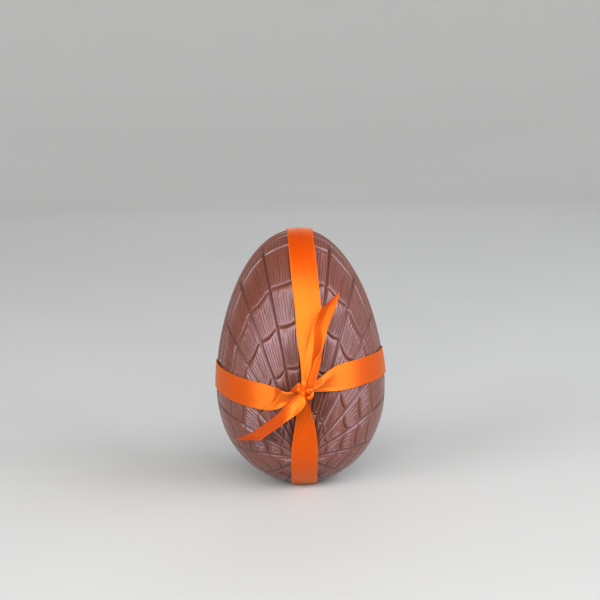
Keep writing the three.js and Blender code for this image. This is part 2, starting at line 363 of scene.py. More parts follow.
card = Finish("pale_card")
place = card.node("TexCoord", output="Object")
mottle = card.node("TexNoise", None, {"Vector": place, "Scale": 6.0, "Detail": 3.0})
far = card.node("VectorMath", {"operation": "LENGTH"}, {0: place}, output="Value")
# painted light: the card turns paler away from the egg, where back light would fall
painted_light_grade = (far * (1 / CARD_GRADES_OVER)).clipped()
card.set(
    Base_Color=card.blend(painted_light_grade, card.blend(mottle, *CARD_NEAR), CARD_FAR_PAINTED_LIGHT),
    Roughness=0.7,
    Specular_IOR_Level=0.2,
)
floor.data.materials.append(card.material)
print("floor finish:", card.material.name)

# %% [markdown]
# ## The pattern of the shell
#
# The crackle is a traditional mould pattern: plates like the bark of a tree or the skin
# of a crocodile, each hatched with fine strokes. Carving it with modifiers would blur it,
# so a net of lines is worked out first and laid over the egg: columns run out along the
# long grooves from their meeting point, rows run across like ripples. Where a crack, a
# groove or the rim needs a crisp wall, the net's lines lie close together.

# %% Grooves and cracks
GROOVE_DEGREES = [0, 9.7, 18.7, 29.5, 43.2, 61.5, 86.5, 123, 152, 180]
POLE = 23.6  # height of the point that the grooves run out from

# Where cracks cross each sector, in thousandths of the way from the pole to the seam: at
# the sector's upper edge, middle and lower edge. Innermost first; None leaves one out.
CRACKS_RIGHT = [
    [(210, 205, 212), (370, 362, 374), (546, 536, 553), (709, 699, 714), (880, 870, 885)],
    [(213, 208, 218), (374, 379, 400), (550, 540, 556), (716, 703, 718), (885, 878, 886)],
    [(212, 207, 216), (400, 388, 395), (548, 538, 560), (712, 697, 708), (870, 855, 868)],
    [(200, 193, 190), (395, 383, 388), (575, 556, 545), (710, 690, 682), (850, 838, 840)],
    [(187, 180, 190), (362, 349, 368), (516, 492, 496), (655, 632, 637), None],
    [(190, 180, 185), (335, 312, 326), (474, 457, 486), (612, 590, 628), None],
    [None, (302, 272, 288), (466, 440, 458), (600, 580, 590), None],
    [None, (345, 330, 340), None, (570, 550, 562), None],
    [None, (330, 318, 330), (480, 465, 480), None, None],
]
CRACKS_LEFT = [
    [(210, 205, 212), (366, 370, 382), (544, 536, 550), (705, 698, 714), (877, 872, 887)],
    [(213, 208, 218), (381, 379, 388), (553, 548, 565), (714, 702, 720), (885, 887, 885)],
    [(212, 207, 216), (405, 396, 392), (575, 565, 576), (720, 704, 717), (870, 858, 868)],
    [(200, 193, 190), (385, 372, 390), (583, 566, 550), (715, 690, 690), (850, 838, 840)],
    [(187, 180, 190), (395, 352, 340), (528, 516, 522), (660, 648, 652), None],
    [(190, 180, 185), (325, 305, 325), (505, 475, 490), (672, 655, 650), None],
    [None, (318, 275, 305), (480, 430, 460), (610, 590, 600), None],
    [None, (350, 338, 345), None, (560, 548, 555), None],
    [None, (330, 318, 330), (480, 465, 480), None, None],
]
# Shares of the same way that the rows follow where a crack is left out, above the pole
# and beside it.
ARCHES = [(0.21, 0.18), (0.385, 0.30), (0.555, 0.475), (0.712, 0.635), (0.885, 0.755)]
ARCH_DEGREES = (28, 80)  # up to where the first holds, and from where the second does

right = [math.radians(d) for d in GROOVE_DEGREES]
ring = np.array(right + [2 * math.pi - a for a in reversed(right[1:-1])])
gaps = np.diff(np.append(ring, 2 * math.pi))
cracks = CRACKS_RIGHT + [
    [crack and crack[::-1] for crack in sector] for sector in reversed(CRACKS_LEFT)
]
print(len(ring), "grooves,", sum(c is not None for s in cracks for c in s), "cracks a half")

# %% Lines from the pole to the seam
TURN_STEPS = 1440
LINE_STEPS = 400

heading = np.linspace(0, 2 * math.pi, TURN_STEPS + 1) + PATTERN_LEAN
direction = np.stack([np.sin(heading), np.zeros_like(heading), np.cos(heading)], -1)
pole = np.tile([0.0, 0.0, POLE], (len(heading), 1))
reach = np.linalg.norm(leave_egg(pole, direction) - pole, axis=1)
share = np.sin(np.linspace(0, math.pi / 2, LINE_STEPS + 1))  # closer towards the seam
lines = pole[:, None] + direction[:, None] * (reach[:, None] * share)[..., None]
lines[..., 1] = -np.sqrt(np.maximum(radius_squared(lines[..., 2]) - lines[..., 0] ** 2, 0))
lines[:, -1, 1] = 0
steps = np.linalg.norm(np.diff(lines, axis=1), axis=2)
travel = np.concatenate([np.zeros((len(heading), 1)), np.cumsum(steps, axis=1)], axis=1)
line_length = travel[:, -1]
even = np.linspace(0, 1, LINE_STEPS + 1)
net = np.stack(
    [
        [np.interp(even * line_length[i], travel[i], lines[i, :, k]) for k in range(3)]
        for i in range(len(heading))
    ]
).transpose(0, 2, 1)
up, down = line_length[0], line_length[TURN_STEPS // 2]
print("from the pole to the seam:", up.round(1), "mm up and", down.round(1), "mm down")

# %% Places on the egg
NEAR_AXIS = 5.0  # radius below which a place isn't moved onto the exact outline


def turn_at(angle):
    """An angle about the pole, as a number of steps of the net."""
    return (angle % (2 * math.pi)) / (2 * math.pi) * TURN_STEPS


def length_at(angle):
    """Length of the line from the pole to the seam at an angle."""
    return np.interp(turn_at(angle), np.arange(TURN_STEPS + 1), line_length)


def over_egg(angle, distance):
    """Points on the front half at an angle about the pole and a distance from it."""
    turn = turn_at(angle)
    step = np.clip(distance / length_at(angle), 0, 1) * LINE_STEPS
    i = np.minimum(turn.astype(int), TURN_STEPS - 1)
    j = np.minimum(step.astype(int), LINE_STEPS - 1)
    u, v = (turn - i)[..., None], (step - j)[..., None]
    near = net[i, j] * (1 - v) + net[i, j + 1] * v
    far = net[i + 1, j] * (1 - v) + net[i + 1, j + 1] * v
    point = near * (1 - u) + far * u
    wide = np.hypot(point[..., 0], point[..., 1])
    true = np.sqrt(radius_squared(point[..., 2]))
    grow = np.where(true > NEAR_AXIS, true / np.maximum(wide, 1e-6), 1)
    point[..., :2] *= grow[..., None]
    return point


middle_up = over_egg(np.array([0.0]), np.array([up / 2]))[0]
print("halfway up the middle groove:", middle_up.round(1))

# %% [markdown]
# ## Laying the net
#
# Seven columns shape each groove, at fixed millimetres from its middle, and evenly spaced
# ones cover the plate beside it. A column keeps its place along a groove, so its angle
# about the pole shrinks with distance. Seven rows shape each crack in the same way.

# %% Columns
SECTOR_COLUMNS = 72
GROOVE_LINES = [-1.45, -0.95, -0.5, 0.0, 0.5, 0.95, 1.45]  # from a groove's middle
PLATE_EDGE = GROOVE_LINES[-1]
GROOVE_HALF = 1.0
WIDEST_GROOVE = 0.2  # of the gap between two grooves, close to the pole

column_rows = []  # start angle, share of the lip, share of the gap, gap, sector, across
for i, angle in enumerate(ring):
    before, gap = gaps[i - 1], gaps[i]
    for offset in GROOVE_LINES:
        room = before if offset < 0 else gap
        column_rows.append((angle, offset / GROOVE_HALF, 0.0, room, -1, offset))
    for k in range(1, SECTOR_COLUMNS):
        across = k / SECTOR_COLUMNS
        edge = PLATE_EDGE / GROOVE_HALF * (1 - 2 * across)
        column_rows.append((angle, edge, across, gap, i, across))
start, lip_share, gap_share, room, sector, across = np.array(column_rows).T
sector = sector.astype(int)
in_groove = sector < 0


def column_angle(reach):
    """The angle of every column, at a distance from the pole."""
    lip = np.minimum(GROOVE_HALF / np.maximum(reach, 1), WIDEST_GROOVE * room)
    return start + lip_share * lip + gap_share * room


print(len(start), "columns")

# %% Rings of cracks
CRACK_ENDS, CRACK_SWELL = 0.72, 0.28  # strength at a crack's ends, and what its middle adds


def crack_ring(arch):
    """Share of the way to the seam, and strength, of a ring of cracks at every column."""
    shares = np.zeros(len(start))
    strength = np.zeros(len(start))
    off = np.degrees(np.arccos(np.cos(start + gap_share * room)))
    above, beside = ARCHES[arch]
    usual = above + (beside - above) * smoothstep(off, *ARCH_DEGREES)
    for i in range(len(ring)):
        here = sector == i
        u = across[here]
        if cracks[i][arch] is None:
            shares[here] = usual[here]
            continue
        first, centre, last = np.array(cracks[i][arch]) / 1000
        sag = (first + last) / 2 - centre
        shares[here] = first + (last - first) * u - sag * 4 * u * (1 - u)
        strength[here] = CRACK_ENDS + CRACK_SWELL * np.sin(math.pi * u)
    known = np.flatnonzero(~in_groove)
    every = np.arange(len(start))
    return [
        np.interp(every, known, values[known], period=len(start))
        for values in (shares, strength)
    ]


rings = [crack_ring(arch) for arch in range(len(ARCHES))]
print("rings of cracks:", len(rings))

# %% Rows
CRACK_LINES = [-1.4, -0.85, -0.4, 0.0, 0.4, 0.85, 1.4]  # from a crack's middle
CRACK_ROOM = CRACK_LINES[-1]
POLE_ROWS = [0.0, 0.1, 0.24, 0.42, 0.62, 0.8, 0.92]  # of the way to the first crack
PLATE_ROWS = [0.06, 0.14, 0.28, 0.5, 0.72, 0.86, 0.94]  # of the way to the next one
RIM_START = 9.2  # millimetres before the seam
RIM_ROWS = [RIM_START, 8.2, 7.3, 6.7, 6.35, 6.0, 5.65, 5.3, 4.6, 3.4, 2.2, 1.6, 1.1, 0.7, 0.3, 0.0]

ones = np.ones(len(start))
# A row lies at a share of the whole length plus a fixed distance, at every column.
row_share = [fraction * rings[0][0] for fraction in POLE_ROWS]
row_shift = [-CRACK_ROOM * fraction * ones for fraction in POLE_ROWS]
for arch, (shares, _) in enumerate(rings):
    row_share += [shares for offset in CRACK_LINES]
    row_shift += [offset * ones for offset in CRACK_LINES]
    is_last = arch + 1 == len(rings)
    stop, stop_shift = (ones, -RIM_START) if is_last else (rings[arch + 1][0], -CRACK_ROOM)
    row_share += [shares + fraction * (stop - shares) for fraction in PLATE_ROWS]
    row_shift += [
        (CRACK_ROOM + fraction * (stop_shift - CRACK_ROOM)) * ones for fraction in PLATE_ROWS
    ]
row_share = np.array(row_share + [ones for _ in RIM_ROWS])
row_shift = np.array(row_shift + [-inset * ones for inset in RIM_ROWS])
print(len(row_share), "rows")

# %% Crossings of the net
FIRST_GUESS = 60.0
ROUNDS = 4

distance = np.full(row_share.shape, FIRST_GUESS)
for _ in range(ROUNDS):  # a column's angle depends on its distance, and the other way round
    angle = column_angle(distance)
    total = length_at(angle)
    distance = row_share * total + row_shift
distance[-1] = total[-1]
inset = total - distance
print(distance.size, "crossings")

# %% [markdown]
# ## Relief
#
# The relief is one height at each crossing of the net. A groove or a crack is a rounded
# valley. Each plate is a low pillow that rounds down to its edges, and fine strokes are
# cut into it. Every stroke starts just past a crack and fades before the next one, at its
# own length, as a mould maker's hand would cut it. The numbers come from a seeded
# generator, so the egg is the same each time.

# %% Valleys and pillows
GROOVE_DEPTH = 1.1
GROOVE_EDGE = 1.3  # from a groove's middle
GROOVE_POINT = 1.15  # above 1, a valley's floor is narrower
GROOVE_FADE = 16.0  # from the pole, where the relief grows to its full depth
CRACK_DEPTH = 0.9
CRACK_EDGE = 0.85
GROOVE_SHOULDER = (0.9, 2.6)  # where a plate starts to rise, and over what width
CRACK_SHOULDER = (0.7, 2.4)
CRACK_SHOULDER_DEPTH = 0.8  # of the one beside a groove
PLATES_END = (5.9, 7.6)  # before the seam


def valley(x):
    """1 in the middle of a rounded valley and 0 from x = 1 on."""
    return np.cos(math.pi / 2 * np.clip(np.abs(x), 0, 1)) ** 2


def shoulder(off, start, width):
    """1 at the edge of a plate and 0 where the plate is at its full height."""
    return (1 - np.clip((off - start) / width, 0, 1)) ** 2


from_groove = np.where(
    in_groove,
    np.abs(across),
    PLATE_EDGE + np.minimum(gap_share, 1 - gap_share) * room * distance,
)
groove = GROOVE_DEPTH * valley(from_groove / GROOVE_EDGE) ** GROOVE_POINT
pillow = shoulder(from_groove, *GROOVE_SHOULDER)
crack_cut = np.zeros_like(distance)
for shares, strength in rings:
    off = distance - shares * total
    crack_cut = np.maximum(crack_cut, strength * CRACK_DEPTH * valley(off / CRACK_EDGE))
    edge = strength * shoulder(np.abs(off), *CRACK_SHOULDER)
    pillow = 1 - (1 - pillow) * (1 - CRACK_SHOULDER_DEPTH * edge)
print("deepest groove:", round(float(groove.max()), 2), "mm")

# %% Strokes of one cell
STROKE_HALF = 0.48  # of the pitch
STROKE_TIP = 0.55  # of that, where a stroke starts and ends
STROKE_DEPTHS = (0.7, 0.5)  # the least, and what a draw adds
STROKE_START, START_SPREAD = 1.0, 0.05  # past the crack, and a share of the cell
STROKE_END, END_SPREAD = 1.2, 0.22  # before the next one
START_EASE, END_EASE = 1.3, 3.0  # over which a stroke deepens and fades
WANDER, WANDER_LENGTH = 0.1, 6  # sideways, of the pitch, and over how many millimetres
WANDER_SPREAD = 6  # by how much draws shift that wave, in radians

dice = np.random.default_rng(7)


def cell_strokes(across, away, low, high, count):
    """How deep a cell's strokes are at places across it and away from the pole."""
    starts, ends, depths, swings = dice.uniform(size=(4, count + 1))
    k = np.minimum((across * count).astype(int), count)
    wander = WANDER * np.sin(away / WANDER_LENGTH + WANDER_SPREAD * swings[k])
    phase = np.clip(across * count + wander * np.sin(math.pi * across), 0, count)
    k = np.minimum(phase.astype(int), count - 1)
    begin = low + STROKE_START + (high - low) * START_SPREAD * starts[k]
    finish = high - STROKE_END - (high - low) * END_SPREAD * ends[k] ** 2
    window = smoothstep(away, begin, begin + START_EASE) * (
        1 - smoothstep(away, finish - END_EASE, finish)
    )
    half = STROKE_HALF * (STROKE_TIP + (1 - STROKE_TIP) * window)
    cut = valley((phase - k - 0.5) / half)
    return cut * window * (STROKE_DEPTHS[0] + STROKE_DEPTHS[1] * depths[k])


print("a stroke starts", STROKE_START, "mm past its crack")

# %% Strokes of every cell
STROKE_PITCH = [0.95, 1.15, 1.75, 1.75, 1.7, 1.8]  # of each cell, outwards
FEWEST_STROKES, MOST_STROKES = 3, 9
HATCHED = 0.9  # of a cell's width
HATCH_STRENGTH = (0.75, 1.15)
OUTER_STRENGTH = 0.7
OUTER_END = RIM_START - 2.2  # before the seam

strokes = np.zeros_like(distance)
for i in range(len(ring)):
    here = np.flatnonzero(sector == i)
    cell_edges = [np.zeros(len(start))]
    cell_edges += [shares for (shares, _), crack in zip(rings, cracks[i]) if crack]
    for cell, lower in enumerate(cell_edges):
        low = lower[here] * total[:, here]
        is_outer = cell + 1 == len(cell_edges)
        upper = ones[here] if is_outer else cell_edges[cell + 1][here]
        high = upper * total[:, here] - (OUTER_END if is_outer else 0)
        middle_reach = float(np.mean((low + high) / 2))
        count = round(gaps[i] * middle_reach * HATCHED / STROKE_PITCH[cell])
        count = min(max(count, FEWEST_STROKES), MOST_STROKES)
        strength = dice.uniform(*HATCH_STRENGTH) * (OUTER_STRENGTH if is_outer else 1.0)
        away = distance[:, here]
        cut = strength * cell_strokes(across[here], away, low, high, count)
        strokes[:, here] += np.where((away >= low) & (away < high), cut, 0)
print("strokes cover", round(float((strokes > 0.2).mean() * 100)), "% of the net")

# %% [markdown]
# ## Rim and seam
#
# Each half ends in a plain rim, where a mould clamps shut: the plates stop at a channel,
# a flat band follows, and the melted lips stand up as a low bead, a little uneven. It could
# be a ring of its own, but it is one piece with the shell. Its height depends only on the
# distance to the seam, so one short profile gives all of it.

# %% Rim
RIM = [(RIM_START, 0.0), (7.4, -0.3), (6.0, -1.1), (4.6, -0.1)]  # before the seam, height
RIM += [(2.0, 0.0), (1.2, 0.5), (0.5, 0.48), (0.0, 0.2)]
SEAM_WAVES = [(0.05, 7, 1.3), (0.04, 17, 0.0)]  # height, waves in a turn, shift
SEAM_WAVES_END = (1.0, 2.2)
PILLOW = 0.25
HATCH_DEPTH = 0.55


def rim_height(inset):
    """Height of the shell near the seam, eased between the rim's points."""
    height = np.zeros_like(inset)
    for (outer, high), (inner, low) in zip(RIM, RIM[1:]):
        here = (inset <= outer) & (inset > inner)
        share = smoothstep(outer - inset, 0, outer - inner)
        height = np.where(here, high + (low - high) * share, height)
    return np.where(inset <= 0, RIM[-1][1], height)


relief = -(np.maximum(groove, crack_cut) + PILLOW * pillow + HATCH_DEPTH * strokes)
relief *= smoothstep(distance, 0, GROOVE_FADE) * smoothstep(inset, *PLATES_END)
uneven = sum(high * np.sin(waves * angle + shift) for high, waves, shift in SEAM_WAVES)
relief += rim_height(inset) + uneven * (1 - smoothstep(inset, *SEAM_WAVES_END))
print("relief runs from", round(float(relief.min()), 2), "to", round(float(relief.max()), 2), "mm")

# %% [markdown]
# ## The shell in quarters
#
# The real shell is two halves. A displacement shader would leave the relief out of the
# mesh, so each quarter of the egg is a grid primitive whose points are moved to the
# crossings of the net and raised by the relief. Its open sides are closed by one face,
# which makes it a solid wedge. Four pieces keep every mesh small enough to hand on whole,
# and they meet at the seam and along the middle groove, which the ribbon covers.

# %% Grid pieces


def grid_piece(name, rows, columns):
    """A grid primitive, and the row and the column that each of its vertices is in."""
    bpy.ops.mesh.primitive_grid_add(x_subdivisions=columns - 1, y_subdivisions=rows - 1)
    piece = bpy.context.object
    piece.name = piece.data.name = name
    corners = np.empty(len(piece.data.vertices) * 3)
    piece.data.vertices.foreach_get("co", corners)
    x, y, _ = corners.reshape(-1, 3).T
    row = np.rint((y + 1) / 2 * (rows - 1)).astype(int)
    column = np.rint((x + 1) / 2 * (columns - 1)).astype(int)
    return piece, row, column


print("the net is laid on grids of", distance.shape[0], "rows")

# %% Places of the shell's points
middle_groove = in_groove & (lip_share == 0)
up_column = GROOVE_LINES.index(0.0)
down_column = int(np.flatnonzero(middle_groove & (np.abs(start - math.pi) < 1e-6))[0])
points = over_egg(angle, distance)
points += egg_normal(points) * relief[..., None]
points[..., 2] = np.maximum(points[..., 2], EGG_REST)
print("the shell's top is at", round(float(points[..., 2].max()), 2), "mm")

# %% Quarters of the egg
WELD = 0.03  # millimetres, to close the pole
SHARP = math.radians(75)


def shell_quarter(name, first, last, side):
    """The net's columns from first to last as a closed wedge; side -1 is the front."""
    rows, columns = distance.shape
    piece, row, column = grid_piece(name, rows, last - first + 1)
    column = (first + column) % columns
    x, y, z = points[row, column].T
    y = -side * y
    turned = (
        x * math.cos(SEAM_TURN) - y * math.sin(SEAM_TURN),
        x * math.sin(SEAM_TURN) + y * math.cos(SEAM_TURN),
        z,
    )
    piece.data.vertices.foreach_set("co", (np.stack(turned, -1) * MM).ravel())
    depth = piece.data.attributes.new("relief", "FLOAT", "POINT")
    depth.data.foreach_set("value", relief[row, column])
    piece.data.update()
    bpy.ops.object.mode_set(mode="EDIT")
    bpy.ops.mesh.select_mode(type="VERT")
    bpy.ops.mesh.select_all(action="SELECT")
    bpy.ops.mesh.remove_doubles(threshold=WELD * MM)
    bpy.ops.mesh.select_all(action="DESELECT")
    bpy.ops.mesh.select_non_manifold()
    bpy.ops.mesh.edge_face_add()
    bpy.ops.mesh.select_all(action="SELECT")
    bpy.ops.mesh.normals_make_consistent(inside=False)
    bpy.ops.object.mode_set(mode="OBJECT")
    bpy.ops.object.shade_smooth_by_angle(angle=SHARP)
    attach(piece, "root")
    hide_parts("egg")
    bpy.ops.object.select_all(action="DESELECT")
    return piece


full_turn = up_column + distance.shape[1]
shells = [
    shell_quarter("shell_front_right", up_column, down_column, -1),
    shell_quarter("shell_front_left", down_column, full_turn, -1),
    shell_quarter("shell_back_right", up_column, down_column, 1),
    shell_quarter("shell_back_left", down_column, full_turn, 1),
]
for shell in shells:
    shell.data.calc_loop_triangles()
    print(shell.name, "has", len(shell.data.loop_triangles), "triangles")

# %% [markdown]
# ## Chocolate
#
# Milk chocolate comes out of a polished mould with a soft gloss and a faint cool sheen. A
# plain brown would look like plastic. Slow noise varies its tone and fine noise gives a
# grain. The depth of the relief, which the mesh carries as an attribute, makes what lies
# deep duller and darkens it with painted shade, and a thin coat adds the gloss.

# %% Chocolate
CHOCOLATE_TONES = colour(93, 48, 32), colour(109, 59, 41)
# painted shade for the deep places of the relief
CHOCOLATE_PAINTED_SHADE = colour(62, 32, 23)
CHOCOLATE_GLOSS = colour(220, 208, 238)

chocolate = Finish("milk_chocolate")
place = chocolate.node("TexCoord", output="Object")
tone = chocolate.node("TexNoise", None, {"Vector": place, "Scale": 26.0, "Detail": 3.0})
grain = chocolate.node("TexNoise", None, {"Vector": place, "Scale": 1400.0, "Detail": 2.0})
depth = chocolate.node("Attribute", {"attribute_name": "relief"}, output="Fac")
depth_for_shade_and_dullness = (depth * -1.0).clipped()
body = chocolate.blend((tone * 0.7 + grain * 0.3).clipped(), *CHOCOLATE_TONES)
chocolate.set(
    # painted shade: the base colour turns darker where the relief lies deep
    Base_Color=chocolate.blend(depth_for_shade_and_dullness * 0.55, body, CHOCOLATE_PAINTED_SHADE),
    Roughness=0.26 + tone * 0.1 + depth_for_shade_and_dullness * 0.12,
    Normal=chocolate.bump(grain, strength=0.12, distance=0.0002),
    Coat_Weight=0.35,
    Coat_Roughness=0.22,
    Specular_IOR_Level=0.6,
    Specular_Tint=CHOCOLATE_GLOSS,
)
for shell in shells:
    shell.data.materials.append(chocolate.material)
print("chocolate finish:", chocolate.material.name)

# %% [markdown]
# ## Cloth strips
#
# A ribbon is thin, woven and much stiffer along its length than across it, so it never
# stretches into a double curve: where it has to narrow, it folds into lengthwise pleats
# and keeps its true width along them. Each strip is a grid primitive that is laid out in
# stations along the ribbon, then thickened. Its UV map holds the flat cloth in
# millimetres, so the weave follows every fold.

# %% A strip of ribbon
THREAD_WELD = 0.001  # millimetres
CREASED = math.radians(60)


def strip(name, places, length):
    """A thin strip of cloth through a grid of places: stations along, points across."""
    stations, points = places.shape[:2]
    piece, station, point = grid_piece(name, stations, points)
    piece.data.vertices.foreach_set("co", (places[station, point] * MM).ravel())
    flat = np.empty(len(piece.data.loops) * 2)
    weave = piece.data.uv_layers.active.data
    weave.foreach_get("uv", flat)
    weave.foreach_set("uv", (flat.reshape(-1, 2) * (RIBBON_WIDTH, length)).ravel())
    piece.data.update()
    bpy.ops.object.mode_set(mode="EDIT")
    bpy.ops.mesh.select_all(action="SELECT")
    bpy.ops.mesh.remove_doubles(threshold=THREAD_WELD * MM)
    bpy.ops.mesh.normals_make_consistent(inside=False)
    bpy.ops.object.mode_set(mode="OBJECT")
    wall = piece.modifiers.new("cloth", "SOLIDIFY")
    wall.thickness = CLOTH * MM
    wall.offset = 0
    bpy.ops.object.modifier_apply(modifier=wall.name)
    bpy.ops.object.shade_smooth_by_angle(angle=CREASED)
    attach(piece, "root")
    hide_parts("ribbon")
    bpy.ops.object.select_all(action="DESELECT")
    return piece


print("cloth is", CLOTH, "mm thick and", RIBBON_WIDTH, "mm wide")

# %% Curves through points


def curve_through(points):
    """A smooth curve through (x, value) points, level beyond its ends."""
    x, y = np.array(points, float).T
    slope = np.empty_like(y)
    slope[1:-1] = (y[2:] - y[:-2]) / (x[2:] - x[:-2])
    slope[0] = 1.5 * (y[1] - y[0]) / (x[1] - x[0]) - 0.5 * slope[1]
    slope[-1] = 1.5 * (y[-1] - y[-2]) / (x[-1] - x[-2]) - 0.5 * slope[-2]

    def at(wanted):
        wanted = np.clip(wanted, x[0], x[-1])
        i = np.clip(np.searchsorted(x, wanted, side="right") - 1, 0, len(x) - 2)
        h = x[i + 1] - x[i]
        t = (wanted - x[i]) / h
        rise = (y[i + 1] - y[i]) * t * t * (3 - 2 * t)
        lean = slope[i] * t * (1 - t) ** 2 - slope[i + 1] * t * t * (1 - t)
        return y[i] + rise + h * lean

    return at


print("halfway from 0 to 1:", round(float(curve_through([(0, 0), (1, 1), (2, 2)])(0.5)), 2))

# %% [markdown]
# ## The two bands
#
# Both bands are loops on the egg. Their middles follow named stations, and so do their
# visible widths. Where a band is narrower than the ribbon, its cross-section becomes a
# zigzag of the same true width, so the pleats deepen towards the knot by themselves.

# %% Pleated sections
BAND_COLUMNS = 28
PLEAT_SOFT = 0.035  # half of a pleat's bend, as a share of the width
STEEPEST = 0.995  # a pleat never stands quite upright
MOST_SEEN = RIBBON_WIDTH - 0.02


def track(value, degrees):
    """One number for every station, or a run through (degree, value) points."""
    return np.interp(degrees, *zip(*value)) if isinstance(value, list) else value + 0 * degrees


def pleats(degrees, first, *folds):
    """Slope of the cloth at each station; each fold is (its place across, next slope)."""
    across = (np.arange(BAND_COLUMNS) + 0.5) / BAND_COLUMNS - 0.5
    before = track(first, degrees)[:, None]
    slope = before + 0 * across
    for place, after in folds:
        place = track(place, degrees)[:, None]
        after = track(after, degrees)[:, None]
        slope += (after - before) * smoothstep(across, place - PLEAT_SOFT, place + PLEAT_SOFT)
        before = after
    return slope


def squeezed(slope, width):
    """Sideways place and height of the cloth's points, once squeezed to a width."""
    low, high = 0.0, STEEPEST / np.abs(slope).max()
    for _ in range(HALVINGS):
        squeeze = (low + high) / 2
        seen = np.sqrt(1 - (squeeze * slope) ** 2).mean() * RIBBON_WIDTH
        low, high = (squeeze, high) if seen > width else (low, squeeze)
    step = RIBBON_WIDTH / BAND_COLUMNS
    sideways = np.concatenate([[0], np.cumsum(np.sqrt(1 - (low * slope) ** 2)) * step])
    height = np.concatenate([[0], np.cumsum(low * slope) * step])
    sideways *= min(1, width / sideways[-1])
    return np.stack([sideways - sideways[-1] / 2, height - height.min()])


def folded(slopes, widths, fold):
    """The band's section at every station: sideways places and heights of its points."""
    widths = np.minimum(widths, MOST_SEEN)
    sections = np.array([squeezed(slope, width) for slope, width in zip(slopes, widths)])
    sections[:, 1] *= fold[:, None]
    return sections


print("a band's section has", BAND_COLUMNS + 1, "points")

# %% Bands on the egg
KNOT = np.array([1.4, -54.0, 64.6])
KNOT_RISE = 2.6  # how much higher a band lies under the knot
KNOT_REACH = 9.0
BEAD_FLAT, BEAD_FOOT = 1.5, 8.0  # how far from the seam a band is at its highest, then slopes
FOLLOW = 0.6  # how far a taut band's edges sink towards the shell
EDGE_RIPPLE = 0.12
RIPPLE_LENGTH = 9.0
FLOOR_CLEARANCE = 0.02


def stand_off(p):
    """How far a taut band stands off the shell, over the seam and up to the knot."""
    bead = np.clip(1 - (np.abs(p[:, 1]) - BEAD_FLAT) / BEAD_FOOT, 0, 1)
    near = np.exp(-((p[:, 0] - KNOT[0]) ** 2 + (p[:, 2] - KNOT[2]) ** 2) / KNOT_REACH**2)
    return RIBBON_GAP + SEAM_BEAD * bead**2 + KNOT_RISE * near * (p[:, 1] < 0)


def clearance(points):
    """How far points are off the egg's smooth outline, near it."""
    wide = points[:, 0] ** 2 + points[:, 1] ** 2
    low = radius_squared(points[:, 2] - NUDGE)
    high = radius_squared(points[:, 2] + NUDGE)
    steep = np.sqrt(wide + ((high - low) / (4 * NUDGE)) ** 2)
    return (wide - radius_squared(points[:, 2])) / steep / 2


def band(name, start, direction, sections, lift=0.0):
    """A loop of ribbon from the middle's rays and its section at each of them."""
    on_egg = leave_egg(start, direction)
    normal = egg_normal(on_egg)
    centre = on_egg + normal * (stand_off(on_egg) + lift)[:, None]
    tangent = unit(np.roll(centre, -1, 0) - np.roll(centre, 1, 0))
    across = unit(np.cross(tangent, normal))
    outward = unit(np.cross(across, tangent))
    run = np.linalg.norm(np.diff(centre, axis=0, append=centre[:1]), axis=1)
    length = float(run.sum())
    ripple = EDGE_RIPPLE * np.sin(np.cumsum(run) / RIPPLE_LENGTH)
    places = []
    for i, point in enumerate(on_egg):
        sideways, height = sections[i]
        sag = np.clip(clearance(point + across[i] * sideways[:, None]), 0, 1)
        wave = ripple[i] * (2 * sideways / RIBBON_WIDTH) ** 3
        up = RIBBON_THICKNESS / 2 + height - FOLLOW * sag + wave
        places.append(centre[i] + across[i] * sideways[:, None] + outward[i] * up[:, None])
    places = np.array(places)
    places[..., 2] = np.maximum(places[..., 2], CLOTH / 2 + FLOOR_CLEARANCE)
    piece = strip(name, np.concatenate([places, places[:1]]), length)
    print(name, "is", round(length), "mm long")
    return piece


print("a band lies", RIBBON_GAP, "mm off the shell, and", RIBBON_GAP + KNOT_RISE, "at the knot")

# %% [markdown]
# ## The upright band
#
# This band goes up from the knot, over the crown, down the back and under the egg, and
# the egg stands on it. It could lie in one plane, but a tied ribbon is pulled sideways at
# its knot, so its middle bulges to one side. Above the knot the cloth gathers in a narrow
# zigzag. Below it, one long crease runs slantwise from the edge to the knot.

# %% Upright band
UPRIGHT_STATIONS = 320
UPRIGHT_START = -70  # degrees above the knot's height; the band's ends meet there
CREASE_WIDTH = 0.13  # of the ribbon's
PLEAT_RISE = 0.75  # of a full zigzag's
PLEATS_FADE = (18, 38)  # degrees from the knot
OVER_KNOT = (-4, 4)  # degrees in which the folds of one side turn into the other's
upright_side = curve_through(
    [(-70, 0.7), (-50, 0.9), (-27, 1.7), (-12, 1.4), (0, 1.6), (6, 3.2), (18, 5), (30, 5.7)]
    + [(47, 5.2), (60, 3.9), (87, 1.7), (130, 0.3), (180, 0), (290, 0.7)]
)
upright_width = curve_through(
    [(-70, 15), (-45, 15), (-36, 14.3), (-26, 12), (-15.5, 8.4), (-11.5, 7.1), (-6, 5), (0, 5)]
    + [(5, 6.5), (18, 11), (30, 14.4), (40, 15), (290, 15)]
)
degrees = UPRIGHT_START + 360 * np.arange(UPRIGHT_STATIONS) / UPRIGHT_STATIONS
turn = np.radians(degrees)
crease = [(-70, -0.5), (-39, -0.49), (-29, -0.32), (-19, -0.05), (-11, 0.2), (0, 0.3)]
below_crease = [(place, across + CREASE_WIDTH) for place, across in crease]
below_knot = pleats(degrees, 0.3, (crease, -1), (below_crease, 0.4))
above_knot = pleats(degrees, 0.2, (-0.15, -1), (0.2, 1))
above = smoothstep(degrees, *OVER_KNOT)[:, None]
fold = PLEAT_RISE * (1 - smoothstep(np.abs(degrees), *PLEATS_FADE))
upright_band = band(
    "ribbon_upright_band",
    start=np.stack([upright_side(degrees), 0 * turn, 0 * turn + KNOT[2]], -1),
    direction=np.stack([0 * turn, -np.cos(turn), np.sin(turn)], -1),
    sections=folded(
        below_knot * (1 - above) + above_knot * above, upright_width(degrees), fold
    ),
)

